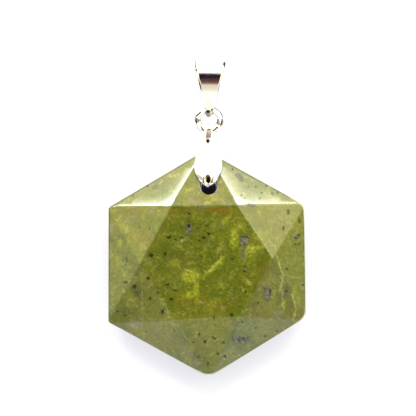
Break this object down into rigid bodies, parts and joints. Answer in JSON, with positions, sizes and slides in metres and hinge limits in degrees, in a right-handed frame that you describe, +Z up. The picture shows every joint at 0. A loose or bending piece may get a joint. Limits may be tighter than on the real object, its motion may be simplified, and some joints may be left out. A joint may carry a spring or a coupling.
{
  "type": "star pendant",
  "caption": "Pointed hexagonal stone cut with a star on each face, held at its top corner by a pinch bail, with a jump ring and a tapered neck bail above it.",
  "frame": {"origin": "middle of the stone's flat back table, on the surface that the pendant lies on", "axes": "+Z up out of the front face, +Y from the stone to the neck bail, +X to the right as the front is seen"},
  "size_m": [0.0292, 0.047, 0.008],
  "materials": {
    "stone": "polished",
    "plated_metal": "bright plated"
  },
  "bodies": {
    "root": {"stone": "stone", "pinch_bail": "plated_metal", "jump_ring": "plated_metal", "neck_bail": "plated_metal"}
  },
  "joints": []
}
